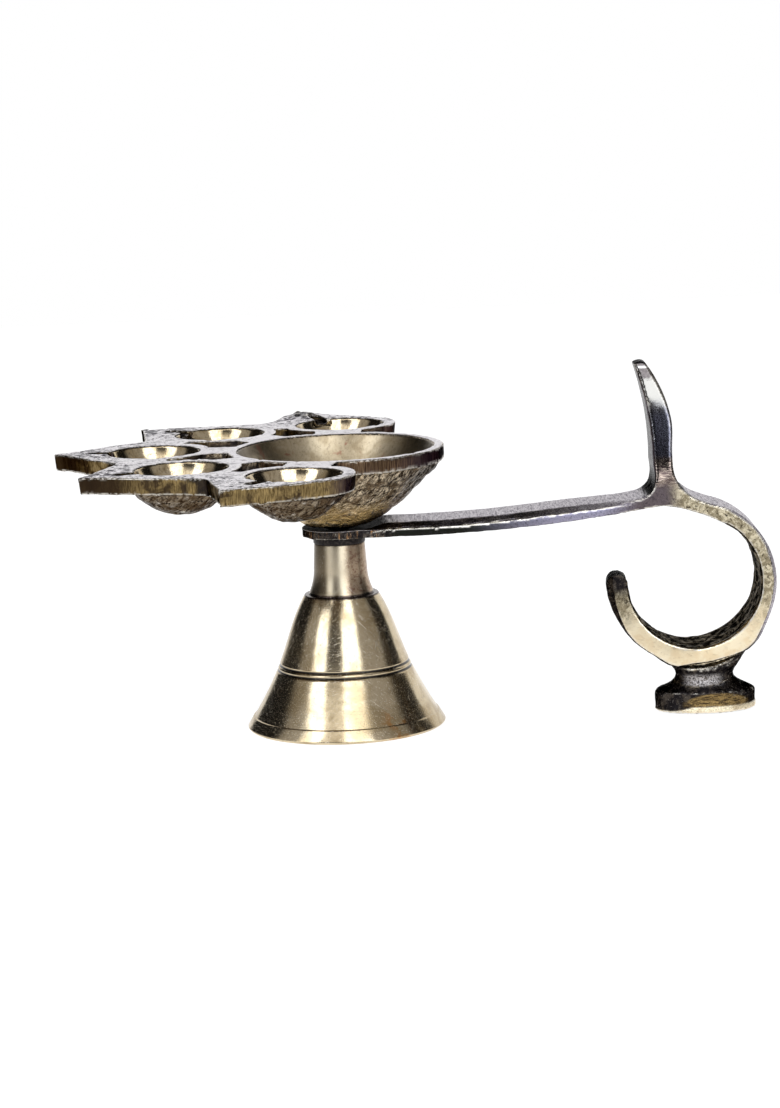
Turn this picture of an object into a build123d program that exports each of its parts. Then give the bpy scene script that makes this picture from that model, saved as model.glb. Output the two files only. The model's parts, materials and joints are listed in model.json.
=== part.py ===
from build123d import *

import math
import os

os.makedirs("parts", exist_ok=True)

# Aarti lamp in millimetres: +Z up, origin on the ground under the stand's axis, +X along the handle.

# Bell foot
BELL_HEIGHT = 37.6
BELL_CROWN_RADIUS = 10.3
BELL_CROWN_THICKNESS = 3.6
BELL_MIDDLE_HEIGHT = 20.0
BELL_MIDDLE_RADIUS = 17.5
BELL_END_SLOPE = 59.0
BELL_WALL = 2.4
BAND_RADIUS = 27.9
BAND_TOP_RADIUS = 26.1
BAND_HEIGHT = 3.7
BAND_STEP = 0.35
BAND_CHAMFER = 0.7
GROOVE_SHARES = (0.562, 0.606)
GROOVE_WIDTH = 0.7

# Stem, the neck above the bell
STEM_HEIGHT = 14.4
STEM_TOP_RADIUS = 7.05
STEM_NECK_RADIUS = 7.45
STEM_FLARE_HEIGHT = 7.4
STEM_FOOT_RADIUS = 9.2
STEM_EDGE = 0.3

# Rod, nut and washers that clamp the stack
ROD_RADIUS = 3.0
ROD_TAIL = 8.5
ROD_SOCKET = 2.4
ROD_CHAMFER = 0.5
ROD_CLEARANCE = 0.08
NUT_CLEARANCE = 0.05
NUT_ACROSS_FLATS = 10.0
NUT_THICKNESS = 5.0
NUT_CHAMFER_ANGLE = 30.0
NUT_WASHER_RADIUS = 6.0
NUT_WASHER_THICKNESS = 1.6
NECK_WASHER_RADIUS = 7.25
NECK_WASHER_THICKNESS = 1.9
WASHER_EDGE = 0.3

# Bowl
BOWL_HEIGHT = 22.4
BOWL_RIM_RADIUS = 30.3
BOWL_RIM_WALL = 2.9
BOWL_BAND_HEIGHT = 3.6
BOWL_BAND_STEP = 0.8
BOWL_FLAT_RADIUS = 8.0
BOWL_SIDE_RADIUS = 18.8
BOWL_SIDE_HEIGHT = 6.9
BOWL_FLOOR = 3.8

# Fan of wick cups
FAN_TURN = -7.2
CUP_COUNT = 5
CUP_STEP = 42.25
CUP_RADIUS = 12.8
CUP_BOWL_GAP = 8.0
CUP_DEPTH = 10.3
CUP_WALL = 3.0
CUP_FLANGE = 3.9
PLATE_THICKNESS = 4.2
TIP_REACH = 28.9
TIP_STEP = 37.4
TIP_ROUND = 0.6
NOTCH_REACH = 10.9
NOTCH_ROUND = 2.0
BRIDGE_WIDTH = 14.0
CHANNEL_WIDTH = 3.2
CHANNEL_DEPTH = 1.3
CHANNEL_LENGTH = 6.5

# Handle strap
STRAP_WIDTH = 18.5
EYE_RADIUS = 10.5
EYE_THICKNESS = 2.7
BAR_STRAIGHT = 20.0
BAR_END_BACK = 8.5
BAR_END_RISE = 5.5
BAR_END_ROUND = 8.0
BAR_ROOT_BACK = 15.0
BAR_ROOT_RISE = 5.2
HOOK_REACH = 98.4
HOOK_RISE = 1.8
HOOK_RADIUS = 18.1
HOOK_INNER_ANGLE = 60.0
HOOK_ROOT_ANGLE = 72.0
HOOK_TIP_ANGLE = -175.0
HOOK_TIP_ROUND = 10.0
HOOK_ROOT_THICKNESS = 4.5
HOOK_TIP_THICKNESS = 5.8
HOOK_TIP_WIDTH = 8.0
HOOK_STATIONS = 8
THUMB_BACK = 7.6
THUMB_THICKNESS = 4.6
THUMB_ROOT_RISE = 18.1
THUMB_BEND_RISE = 24.0
THUMB_RISE = 44.8
THUMB_LEAN = 5.5
THUMB_TIP_THICKNESS = 2.2
THUMB_TIP_WIDTH = 7.0
THUMB_TIP_ROUND = 0.7

# Oval foot under the hook
PAD_FORWARD = 2.8
PAD_LENGTH = 28.6
PAD_WIDTH = 19.4
PAD_BEVEL = 1.0
SHOULDER_LENGTH = 23.0
SHOULDER_WIDTH = 16.5
WAIST_LENGTH = 18.4
WAIST_WIDTH = 12.5
NECK_LENGTH = 22.0
NECK_WIDTH = 15.5
PAD_SHARE = 0.28
SHOULDER_SHARE = 0.50
WAIST_SHARE = 0.70
NECK_SHARE = 0.8

# Heights of the stack, from the ground up
stem_top = BELL_HEIGHT + STEM_HEIGHT
eye_bottom = stem_top + NECK_WASHER_THICKNESS
eye_top = eye_bottom + EYE_THICKNESS
rim_height = eye_top + BOWL_HEIGHT
crown_underside = BELL_HEIGHT - BELL_CROWN_THICKNESS
nut_top = crown_underside - NUT_WASHER_THICKNESS
nut_bottom = nut_top - NUT_THICKNESS
rod_bore = ROD_RADIUS + ROD_CLEARANCE
hook_height = eye_bottom + HOOK_RISE - HOOK_RADIUS


def polar(radius, degrees):
    """A point at this radius and angle round the origin."""
    return (radius * math.cos(math.radians(degrees)), radius * math.sin(math.radians(degrees)))


def ring(radius, thickness, bore, bottom):
    """A washer with its edges broken, standing on this height."""
    with BuildPart() as washer:
        with BuildSketch(Plane.XY.offset(bottom)):
            Circle(radius)
            Circle(bore, mode=Mode.SUBTRACT)
        extrude(amount=thickness)
        outer_edges = washer.edges().filter_by(GeomType.CIRCLE).group_by(SortBy.RADIUS)[-1]
        chamfer(outer_edges, WASHER_EDGE)
    return washer


# Bell foot: a turned hollow bell with a band at its edge, two fine grooves and a bored crown.
with BuildPart() as bell_foot:
    down = polar(1, -BELL_END_SLOPE)
    up = polar(1, 180 - BELL_END_SLOPE)
    with BuildSketch(Plane.XZ):
        with BuildLine():
            Line((rod_bore, BELL_HEIGHT), (BELL_CROWN_RADIUS, BELL_HEIGHT))
            flare = Spline(
                (BELL_CROWN_RADIUS, BELL_HEIGHT),
                (BELL_MIDDLE_RADIUS, BELL_MIDDLE_HEIGHT),
                (BAND_TOP_RADIUS - BAND_STEP, BAND_HEIGHT),
                tangents=(down, down),
            )
            Polyline(
                (BAND_TOP_RADIUS - BAND_STEP, BAND_HEIGHT),
                (BAND_TOP_RADIUS, BAND_HEIGHT),
                (BAND_RADIUS, BAND_CHAMFER),
                (BAND_RADIUS - BAND_CHAMFER, 0),
                (BAND_RADIUS - BELL_WALL, 0),
                (BAND_TOP_RADIUS - BELL_WALL, BAND_HEIGHT),
            )
            Spline(
                (BAND_TOP_RADIUS - BELL_WALL, BAND_HEIGHT),
                (BELL_MIDDLE_RADIUS - BELL_WALL, BELL_MIDDLE_HEIGHT),
                (BELL_CROWN_RADIUS - BELL_WALL / 2, crown_underside),
                tangents=(up, up),
            )
            Polyline(
                (BELL_CROWN_RADIUS - BELL_WALL / 2, crown_underside),
                (rod_bore, crown_underside),
                (rod_bore, BELL_HEIGHT),
            )
        make_face()
        with Locations(*[flare @ share for share in GROOVE_SHARES]):
            Rectangle(GROOVE_WIDTH, GROOVE_WIDTH, rotation=BELL_END_SLOPE, mode=Mode.SUBTRACT)
    revolve(axis=Axis.Z)
bell_foot.part.label = "bell_foot"
export_step(bell_foot.part, "parts/bell_foot.step")

# Stem: a bored neck that flares down to the bell's crown.
with BuildPart() as stem:
    flare_top = BELL_HEIGHT + STEM_FLARE_HEIGHT
    with BuildSketch(Plane.XZ):
        with BuildLine():
            Polyline(
                (STEM_FOOT_RADIUS, BELL_HEIGHT),
                (rod_bore, BELL_HEIGHT),
                (rod_bore, stem_top),
                (STEM_TOP_RADIUS - STEM_EDGE, stem_top),
                (STEM_TOP_RADIUS, stem_top - STEM_EDGE),
                (STEM_NECK_RADIUS, flare_top),
            )
            TangentArc((STEM_NECK_RADIUS, flare_top), (STEM_FOOT_RADIUS, BELL_HEIGHT), tangent=(0, -1))
        make_face()
    revolve(axis=Axis.Z)
stem.part.label = "stem"
export_step(stem.part, "parts/stem.step")

# Washers: one between the neck and the handle's eye, one under the crown for the nut.
neck_washer = ring(NECK_WASHER_RADIUS, NECK_WASHER_THICKNESS, rod_bore, stem_top)
neck_washer.part.label = "neck_washer"
export_step(neck_washer.part, "parts/neck_washer.step")

nut_washer = ring(NUT_WASHER_RADIUS, NUT_WASHER_THICKNESS, rod_bore, nut_top)
nut_washer.part.label = "nut_washer"
export_step(nut_washer.part, "parts/nut_washer.step")

# Tie rod: fixed in the flat under the bowl, with its threaded tail below the nut.
with BuildPart() as tie_rod:
    with BuildSketch(Plane.XY.offset(nut_bottom - ROD_TAIL)):
        Circle(ROD_RADIUS)
    extrude(amount=eye_top + ROD_SOCKET - nut_bottom + ROD_TAIL)
    chamfer(tie_rod.edges().group_by(Axis.Z)[0], ROD_CHAMFER)
tie_rod.part.label = "tie_rod"
export_step(tie_rod.part, "parts/tie_rod.step")

# Clamp nut: a hexagon with both its faces chamfered to a circle of the width across flats.
with BuildPart() as clamp_nut:
    with BuildSketch(Plane.XY.offset(nut_bottom)):
        RegularPolygon(NUT_ACROSS_FLATS / 2, 6, major_radius=False)
        Circle(ROD_RADIUS + NUT_CLEARANCE, mode=Mode.SUBTRACT)
    extrude(amount=NUT_THICKNESS)
    with BuildSketch(Plane.XZ):
        flat_radius = NUT_ACROSS_FLATS / 2
        corner_radius = NUT_ACROSS_FLATS / math.sqrt(3)
        corner_drop = (corner_radius - flat_radius) * math.tan(math.radians(NUT_CHAMFER_ANGLE))
        with BuildLine():
            Polyline(
                (0, nut_bottom),
                (flat_radius, nut_bottom),
                (corner_radius, nut_bottom + corner_drop),
                (corner_radius, nut_top - corner_drop),
                (flat_radius, nut_top),
                (0, nut_top),
                close=True,
            )
        make_face()
    revolve(axis=Axis.Z, mode=Mode.INTERSECT)
clamp_nut.part.label = "clamp_nut"
export_step(clamp_nut.part, "parts/clamp_nut.step")

# Cup casting: the bowl, the fan of pointed cups and the flat web that joins their rims.
fan_axis = 180 + FAN_TURN
cup_turns = [i - (CUP_COUNT - 1) / 2 for i in range(CUP_COUNT)]
cup_ring = BOWL_RIM_RADIUS + CUP_BOWL_GAP + CUP_RADIUS
cup_centres = [polar(cup_ring, fan_axis + turn * CUP_STEP) for turn in cup_turns]
cup_tips = [polar(cup_ring + TIP_REACH - TIP_ROUND, fan_axis + turn * TIP_STEP) for turn in cup_turns]
notches = [polar(cup_ring + NOTCH_REACH, fan_axis + (turn + 0.5) * CUP_STEP) for turn in cup_turns[:-1]]


def cap_radius(opening, depth):
    """Radius of the sphere that a cup of this opening and depth is a cap of."""
    return (opening**2 + depth**2) / (2 * depth)


with BuildPart() as cup_casting:
    # the bowl's outside, with the turned band under its rim
    band_bottom = rim_height - BOWL_BAND_HEIGHT
    with BuildSketch(Plane.XZ):
        with BuildLine():
            Polyline(
                (BOWL_RIM_RADIUS - BOWL_BAND_STEP, band_bottom),
                (BOWL_RIM_RADIUS, band_bottom),
                (BOWL_RIM_RADIUS, rim_height),
                (0, rim_height),
                (0, eye_top),
                (BOWL_FLAT_RADIUS, eye_top),
            )
            ThreePointArc(
                (BOWL_FLAT_RADIUS, eye_top),
                (BOWL_SIDE_RADIUS, eye_top + BOWL_SIDE_HEIGHT),
                (BOWL_RIM_RADIUS - BOWL_BAND_STEP, band_bottom),
            )
        make_face()
    revolve(axis=Axis.Z)

    # the plate: a pointed outline round each cup, webs out to the notches and a bridge to the bowl
    with BuildSketch(Plane.XY.offset(rim_height - PLATE_THICKNESS)) as plate:
        for centre, tip in zip(cup_centres, cup_tips):
            with BuildSketch(Plane.XY, mode=Mode.PRIVATE) as leaf:
                with Locations(centre):
                    Circle(CUP_RADIUS + CUP_FLANGE)
                with Locations(tip):
                    Circle(TIP_ROUND)
                make_hull()
            add(leaf.sketch)
        for i, notch in enumerate(notches):
            with BuildLine():
                Polyline(cup_centres[i], cup_tips[i], notch, cup_tips[i + 1], cup_centres[i + 1], close=True)
            make_face()
        for turn in cup_turns:
            heading = fan_axis + turn * CUP_STEP
            with Locations(Location(polar(cup_ring / 2, heading), heading)):
                Rectangle(cup_ring, BRIDGE_WIDTH)
        corners = [plate.vertices().sort_by_distance(notch)[0] for notch in notches]
        fillet(corners, NOTCH_ROUND)
    extrude(amount=PLATE_THICKNESS)

    # the round undersides of the cups
    cup_height = CUP_DEPTH + CUP_WALL
    underside = cap_radius(CUP_RADIUS + CUP_WALL, cup_height)
    with Locations(*[(x, y, rim_height - cup_height + underside) for x, y in cup_centres]):
        Sphere(underside)
    split(bisect_by=Plane.XY.offset(rim_height), keep=Keep.BOTTOM)

    # the hollows of the bowl and the cups
    bowl_opening = BOWL_RIM_RADIUS - BOWL_RIM_WALL
    bowl_hollow = cap_radius(bowl_opening, BOWL_HEIGHT - BOWL_FLOOR)
    with Locations((0, 0, eye_top + BOWL_FLOOR + bowl_hollow)):
        Sphere(bowl_hollow, mode=Mode.SUBTRACT)
    cup_hollow = cap_radius(CUP_RADIUS, CUP_DEPTH)
    with Locations(*[(x, y, rim_height - CUP_DEPTH + cup_hollow) for x, y in cup_centres]):
        Sphere(cup_hollow, mode=Mode.SUBTRACT)

    # a shallow wick channel from each cup towards its tip
    with BuildSketch(Plane.XY.offset(rim_height)):
        for (x, y), (tip_x, tip_y) in zip(cup_centres, cup_tips):
            heading = math.degrees(math.atan2(tip_y - y, tip_x - x))
            along = polar(CUP_RADIUS, heading)
            with Locations(Location((x + along[0], y + along[1]), heading)):
                SlotOverall(2 * CHANNEL_LENGTH, CHANNEL_WIDTH)
    extrude(amount=-CHANNEL_DEPTH, mode=Mode.SUBTRACT)

    # the socket that holds the rod
    with BuildSketch(Plane.XY.offset(eye_top)):
        Circle(ROD_RADIUS)
    extrude(amount=ROD_SOCKET, mode=Mode.SUBTRACT)
cup_casting.part.label = "cup_casting"
export_step(cup_casting.part, "parts/cup_casting.step")

# Handle: one strap with an eye, a bar, an upright thumb rest, a finger hook and an oval foot.


def hook_at(radius, degrees):
    """A point of the side view, by its place round the hook's centre."""
    x, z = polar(radius, degrees)
    return (HOOK_REACH + x, hook_height + z)


def hook_thickness(share):
    """The hook's thickness, from its root at 0 to its tip at 1."""
    return HOOK_ROOT_THICKNESS + share * (HOOK_TIP_THICKNESS - HOOK_ROOT_THICKNESS)


def hook_outside(share):
    """A point on the hook's outside, from its root at 0 to its tip at 1."""
    angle = HOOK_ROOT_ANGLE + share * (HOOK_TIP_ANGLE - HOOK_ROOT_ANGLE)
    return hook_at(HOOK_RADIUS + hook_thickness(share), angle)


with BuildPart() as handle:
    bar_end = (HOOK_REACH - BAR_END_BACK, eye_bottom + BAR_END_RISE)
    bar_root = (HOOK_REACH - BAR_ROOT_BACK, eye_top + BAR_ROOT_RISE)
    thumb_x = HOOK_REACH - THUMB_BACK
    thumb_back = (thumb_x - THUMB_THICKNESS / 2, eye_bottom + THUMB_ROOT_RISE)
    thumb_front = (thumb_x + THUMB_THICKNESS / 2, eye_bottom + THUMB_ROOT_RISE)
    thumb_bend = (thumb_x + THUMB_THICKNESS / 2, eye_bottom + THUMB_BEND_RISE)
    tip_x = thumb_x - THUMB_LEAN
    tip_back = (tip_x - THUMB_TIP_THICKNESS / 2, eye_bottom + THUMB_RISE)
    tip_top = (tip_x, eye_bottom + THUMB_RISE + THUMB_TIP_ROUND)
    tip_front = (tip_x + THUMB_TIP_THICKNESS / 2, eye_bottom + THUMB_RISE)
    with BuildSketch(Plane.XZ) as side_view:
        with BuildLine():
            # the underside, from the eye to the hook's inside
            Line((0, eye_bottom), (BAR_STRAIGHT, eye_bottom))
            TangentArc((BAR_STRAIGHT, eye_bottom), bar_end, tangent=(1, 0))
            hook_inside = CenterArc(
                (HOOK_REACH, hook_height), HOOK_RADIUS, HOOK_INNER_ANGLE, HOOK_TIP_ANGLE - HOOK_INNER_ANGLE
            )
            TangentArc(hook_inside @ 0, bar_end, tangent=-(hook_inside % 0))
            # round the hook's tip and back along its outside
            ThreePointArc(
                hook_at(HOOK_RADIUS, HOOK_TIP_ANGLE),
                hook_at(HOOK_RADIUS + HOOK_TIP_THICKNESS / 2, HOOK_TIP_ANGLE - HOOK_TIP_ROUND),
                hook_outside(1),
            )
            hook_back = Spline(*[hook_outside(1 - i / HOOK_STATIONS) for i in range(HOOK_STATIONS + 1)])
            # up the thumb rest's front, over its tip and down its back
            Spline(hook_outside(0), thumb_front, tangents=(hook_back % 1, (0, 1)))
            Line(thumb_front, thumb_bend)
            TangentArc(thumb_bend, tip_front, tangent=(0, 1))
            ThreePointArc(tip_front, tip_top, tip_back)
            TangentArc(thumb_back, tip_back, tangent=(0, 1))
            # the bar's upper side, back to the eye
            bar_top = TangentArc((BAR_STRAIGHT, eye_top), bar_root, tangent=(1, 0))
            Spline(thumb_back, bar_root, tangents=((0, -1), -(bar_top % 1)))
            Polyline((BAR_STRAIGHT, eye_top), (0, eye_top), (0, eye_bottom))
        make_face()
        fillet(side_view.vertices().sort_by_distance(bar_end)[0], BAR_END_ROUND)
    extrude(amount=STRAP_WIDTH / 2, both=True)
    # the sides drawn in towards the hook's tip and the thumb rest's tip
    hook_end = HOOK_REACH - HOOK_RADIUS - HOOK_TIP_THICKNESS
    with BuildSketch():
        with BuildLine():
            Polyline(
                (HOOK_REACH, STRAP_WIDTH / 2),
                (hook_end, HOOK_TIP_WIDTH / 2),
                (hook_end - HOOK_TIP_THICKNESS, HOOK_TIP_WIDTH / 2),
                (hook_end - HOOK_TIP_THICKNESS, STRAP_WIDTH / 2),
                close=True,
            )
        make_face()
        mirror(about=Plane.XZ)
    extrude(amount=hook_height + HOOK_RADIUS / 2, mode=Mode.SUBTRACT)
    with BuildSketch(Plane.YZ):
        with BuildLine():
            Polyline(
                (STRAP_WIDTH / 2, thumb_back[1]),
                (THUMB_TIP_WIDTH / 2, tip_top[1]),
                (STRAP_WIDTH / 2, tip_top[1]),
                close=True,
            )
        make_face()
        mirror(about=Plane.YZ)
    extrude(amount=HOOK_REACH, mode=Mode.SUBTRACT)
    with BuildSketch(Plane.XY.offset(eye_bottom)):
        Circle(EYE_RADIUS)
    extrude(amount=EYE_THICKNESS)
    with Locations((0, 0, eye_top)):
        Hole(rod_bore)

    # the oval foot: a flat pad with a domed shoulder, drawn in to a waist under the hook
    foot_share = (HOOK_ROOT_ANGLE + 90) / (HOOK_ROOT_ANGLE - HOOK_TIP_ANGLE)
    foot_height = hook_height - HOOK_RADIUS - hook_thickness(foot_share)
    pad_x = HOOK_REACH + PAD_FORWARD
    with BuildSketch():
        with Locations((pad_x, 0)):
            Ellipse(PAD_LENGTH / 2, PAD_WIDTH / 2)
    extrude(amount=PAD_SHARE * foot_height)
    foot_sections = (
        (PAD_SHARE * foot_height, PAD_LENGTH, PAD_WIDTH),
        (SHOULDER_SHARE * foot_height, SHOULDER_LENGTH, SHOULDER_WIDTH),
        (WAIST_SHARE * foot_height, WAIST_LENGTH, WAIST_WIDTH),
        (foot_height + NECK_SHARE * hook_thickness(foot_share), NECK_LENGTH, NECK_WIDTH),
    )
    for height, length, width in foot_sections:
        with BuildSketch(Plane.XY.offset(height)):
            with Locations((pad_x, 0)):
                Ellipse(length / 2, width / 2)
    loft()
    chamfer(handle.edges().group_by(Axis.Z)[0], PAD_BEVEL)
handle.part.label = "handle"
export_step(handle.part, "parts/handle.step")
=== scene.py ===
import itertools
import json
import math

import bmesh
import bpy
import numpy as np
from mathutils import Matrix, Vector


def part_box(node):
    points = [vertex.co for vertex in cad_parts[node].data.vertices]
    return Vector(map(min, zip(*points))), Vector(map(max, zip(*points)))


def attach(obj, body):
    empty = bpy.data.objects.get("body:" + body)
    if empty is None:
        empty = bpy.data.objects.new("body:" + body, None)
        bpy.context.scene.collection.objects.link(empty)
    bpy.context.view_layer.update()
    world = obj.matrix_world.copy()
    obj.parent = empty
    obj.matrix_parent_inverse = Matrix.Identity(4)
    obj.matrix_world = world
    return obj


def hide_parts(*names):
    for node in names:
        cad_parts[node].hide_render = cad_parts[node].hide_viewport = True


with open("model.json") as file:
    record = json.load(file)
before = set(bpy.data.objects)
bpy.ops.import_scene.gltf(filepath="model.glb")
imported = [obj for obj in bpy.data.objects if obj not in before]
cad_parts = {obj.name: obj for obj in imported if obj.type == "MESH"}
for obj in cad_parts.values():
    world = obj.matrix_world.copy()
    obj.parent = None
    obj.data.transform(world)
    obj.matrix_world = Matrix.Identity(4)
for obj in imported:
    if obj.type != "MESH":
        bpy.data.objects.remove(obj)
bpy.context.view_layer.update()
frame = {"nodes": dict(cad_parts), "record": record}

# The lamp's lengths are in millimetres here. The frame, Blender and the stage below use metres.
MM = 0.001
openings = {o["name"]: np.array(o["box_m"]) / MM for o in frame["record"]["physics"]["openings"]}

# Sizes that the frame doesn't give repeat the solids' own values.
BELL_CROWN_RADIUS = 10.3
BELL_CROWN_THICKNESS = 3.6
BELL_MIDDLE_HEIGHT = 20.0
BELL_MIDDLE_RADIUS = 17.5
BELL_END_SLOPE = math.radians(59)
BELL_WALL = 2.4
BAND_TOP_RADIUS = 26.1
BAND_HEIGHT = 3.7
BAND_STEP = 0.35
BAND_CHAMFER = 0.7
GROOVE_HEIGHTS = (18.0, 16.6)
GROOVE_WIDTH = 0.55
GROOVE_DEPTH = 0.42

STEM_TOP_RADIUS = 7.05
STEM_NECK_RADIUS = 7.45
STEM_FLARE_HEIGHT = 7.4
BORE_RADIUS = 3.08

THREAD_PITCH = 1.0
THREAD_DEPTH = 0.5
THREAD_START = 35.0
THREAD_ROWS = 12
AXIS_RADIUS = 0.01
NUT_CHAMFER = math.radians(30)
NUT_PLAY = 0.05

BOWL_OPENING = 27.4
BOWL_DEPTH = 18.6
CUP_OPENING = 12.8
CUP_DEPTH = 10.3
PLATE_THICKNESS = 4.2
FAN_TURN = math.radians(172.8)
TIP_STEP = math.radians(37.4)
TIP_RADIUS = 80.0
CUP_STEP = math.radians(42.25)
NOTCH_RADIUS = 62.0
CHANNEL_HALF = 2.2
CHANNEL_DEPTH = 1.3

STRAP_HALF = 9.25
BAR_STRAIGHT = 20.0
BAR_TOP_BEND = 389.0
BAR_THICKNESS = 2.7
HOOK_RADIUS = 18.1
HOOK_ROOT_ANGLE = 72.0
HOOK_TIP_ANGLE = -175.0
HOOK_ROOT_THICKNESS = 4.5
HOOK_TIP_THICKNESS = 5.8
HOOK_TIP_HALF = 4.0
THUMB_ROOT = 72.0
THUMB_BEND = 77.9
THUMB_BACK_X = 88.5
THUMB_BACK_BEND = 85.0
THUMB_FRONT_X = 93.1
THUMB_FRONT_BEND = 35.6
THUMB_TIP_HALF = 3.5
PAD_HALF_LENGTH = 14.3
PAD_HALF_WIDTH = 9.7

# How the surfaces of the finished pieces are made
EDGE_ROUND = 0.3
LATHE_TURNS = 288
CASTING_VOXEL, CASTING_SMOOTHING = 0.42, 6
HANDLE_VOXEL, HANDLE_SMOOTHING = 0.36, 4
WALL_REACH = 1.1
WALL_LEAN = 0.16
BAR_RIDGE_DROP = 1.0
BAR_RIDGE_WIDTH = 2.6
BAR_FAR_BEVEL = 0.45
BAR_FULLER = 1.3
BAR_LOW = 50
THUMB_LOW = 66
HOOK_REACH = 27
RING_REACH = 30
# Where the hook is fuller than a plain ring, as (angle, spread, height).
HOOK_SWELLS = ((-106, 9, 1.5), (-130, 25, 0.7), (-50, 14, 1.6))
# The foot's outline as (height, share of the pad's length, share of its width), from the ground up.
FOOT_OUTLINE = (
    (0.0, 0.965, 0.95), (0.7, 1.0, 1.0), (1.9, 1.0, 0.985), (2.6, 1.0, 0.95), (4.2, 1.0, 0.925),
    (5.4, 1.0, 0.945), (6.0, 0.97, 0.955), (6.6, 0.9, 0.91), (7.3, 0.8, 0.83), (8.2, 0.68, 0.76),
    (9.2, 0.6, 0.73), (10.2, 0.575, 0.74), (11.4, 0.6, 0.8), (12.7, 0.67, 0.87), (14.0, 0.74, 0.92),
    (16.5, 0.86, 0.945), (18.5, 0.95, 0.95),
)


# Mesh helpers

def box(node):
    """The low and the high corner of a CAD node's box."""
    return [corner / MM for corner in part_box(node)]


def read(items, key, width=1, kind=np.int32):
    """A number of each item, or a row of numbers, as an array."""
    values = np.empty(width * len(items), kind)
    items.foreach_get(key, values)
    return values if width == 1 else values.reshape(-1, width)


def points_of(mesh):
    return read(mesh.vertices, "co", 3, float) / MM


def normals_of(mesh):
    return read(mesh.vertex_normals, "vector", 3, float)


def move_points(mesh, points):
    """Puts the mesh's vertices at these points."""
    mesh.vertices.foreach_set("co", points.ravel() * MM)
    mesh.update()


def give(mesh, **zones):
    """Stores a number, or a vector, for each vertex under each name."""
    for name, values in zones.items():
        kind, key = ("FLOAT", "value") if values.ndim == 1 else ("FLOAT_VECTOR", "vector")
        mesh.attributes.new(name, kind, "POINT").data.foreach_set(key, values.astype(np.float32).ravel())


def ease(values, low, high):
    """A smooth step from 0 at low to 1 at high."""
    share = np.clip((values - low) / (high - low), 0, 1)
    return share * share * (3 - 2 * share)


def lumps(points, size, seed):
    """Smooth noise from 0 to 1 at each point, with lumps about this size, which may differ by axis."""
    grid = points / np.asarray(size) + 0.37 * seed
    cell = np.floor(grid)
    part = grid - cell
    part = part * part * (3 - 2 * part)
    total = np.zeros(len(points))
    for corner in itertools.product((0, 1), repeat=3):
        key = (cell + corner).astype(np.int64) @ np.array([73856093, 19349663, 83492791]) + 9176 * seed
        key = (key ^ (key >> 13)) * 1274126177 & 0x7FFFFFFF
        key = (key ^ (key >> 15)) * 668265263 & 0x7FFFFFFF
        total += key / 0x7FFFFFFF * np.prod(np.where(corner, part, 1 - part), axis=1)
    return total


def neighbours_mean(mesh, points, rounds):
    """The points after this many rounds of moving each to the middle of its neighbours."""
    a, b = read(mesh.edges, "vertices", 2).T
    ends, others = np.concatenate([a, b]), np.concatenate([b, a])
    count = np.maximum(np.bincount(ends, minlength=len(points)), 1)
    for _ in range(rounds):
        sums = [np.bincount(ends, weights=column[others], minlength=len(points)) for column in points.T]
        points = np.stack(sums, axis=1) / count[:, None]
    return points


def stand_out(mesh, rounds):
    """How far each vertex stands out of the smoothed surface: above 0 on edges, below 0 in creases."""
    points = points_of(mesh)
    return np.sum((points - neighbours_mean(mesh, points, rounds)) * normals_of(mesh), axis=1)


def add_object(name, data):
    """A new object in the scene."""
    thing = bpy.data.objects.new(name, data)
    bpy.context.scene.collection.objects.link(thing)
    return thing


def add_piece(name, mesh, body, slot, node, *materials):
    """A piece of the lamp that rides on a body and stands for a CAD node."""
    for material in materials:
        mesh.materials.append(material)
    mesh.shade_smooth()
    piece = add_object(name, mesh)
    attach(piece, body)
    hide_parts(node)


def add_turned(name, profile, body, slot, node, material, turns=LATHE_TURNS, radius_at=None):
    """A piece made of a closed profile of (radius, height) points swept round the Z axis."""
    profile = np.array(profile)
    count = len(profile)
    angles = np.linspace(0, 2 * math.pi, turns, endpoint=False)[:, None]
    radii = profile[:, 0] if radius_at is None else radius_at(angles, profile[:, 0], profile[:, 1])
    radii = np.broadcast_to(radii, (turns, count))
    heights = np.broadcast_to(profile[:, 1], (turns, count))
    points = np.stack([radii * np.cos(angles), radii * np.sin(angles), heights], axis=2).reshape(-1, 3)
    step, row = np.meshgrid(np.arange(turns), np.arange(count), indexing="ij")
    here, there, next_row = step * count, (step + 1) % turns * count, (row + 1) % count
    faces = np.stack([here + row, there + row, there + next_row, here + next_row], axis=2)
    mesh = bpy.data.meshes.new(name)
    mesh.from_pydata((points * MM).tolist(), [], faces.reshape(-1, 4).tolist())
    work = bmesh.new()
    work.from_mesh(mesh)
    bmesh.ops.recalc_face_normals(work, faces=work.faces)
    work.to_mesh(mesh)
    work.free()
    add_piece(name, mesh, body, slot, node, material)


def softened(corners, rounding=EDGE_ROUND, steps=4):
    """A closed outline with its sharp corners rounded. Corners that turn little stay as they are."""
    outline = []
    for before, here, after in zip(corners[-1:] + corners[:-1], corners, corners[1:] + corners[:1]):
        here, back, on = Vector(here), Vector(before) - Vector(here), Vector(after) - Vector(here)
        if back.angle(on) > math.radians(160):
            outline.append(tuple(here))
            continue
        start = here + back.normalized() * min(rounding, back.length * 0.45)
        end = here + on.normalized() * min(rounding, on.length * 0.45)
        for share in np.linspace(0, 1, steps + 1):
            outline.append(tuple(start.lerp(here, share).lerp(here.lerp(end, share), share)))
    return outline


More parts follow.
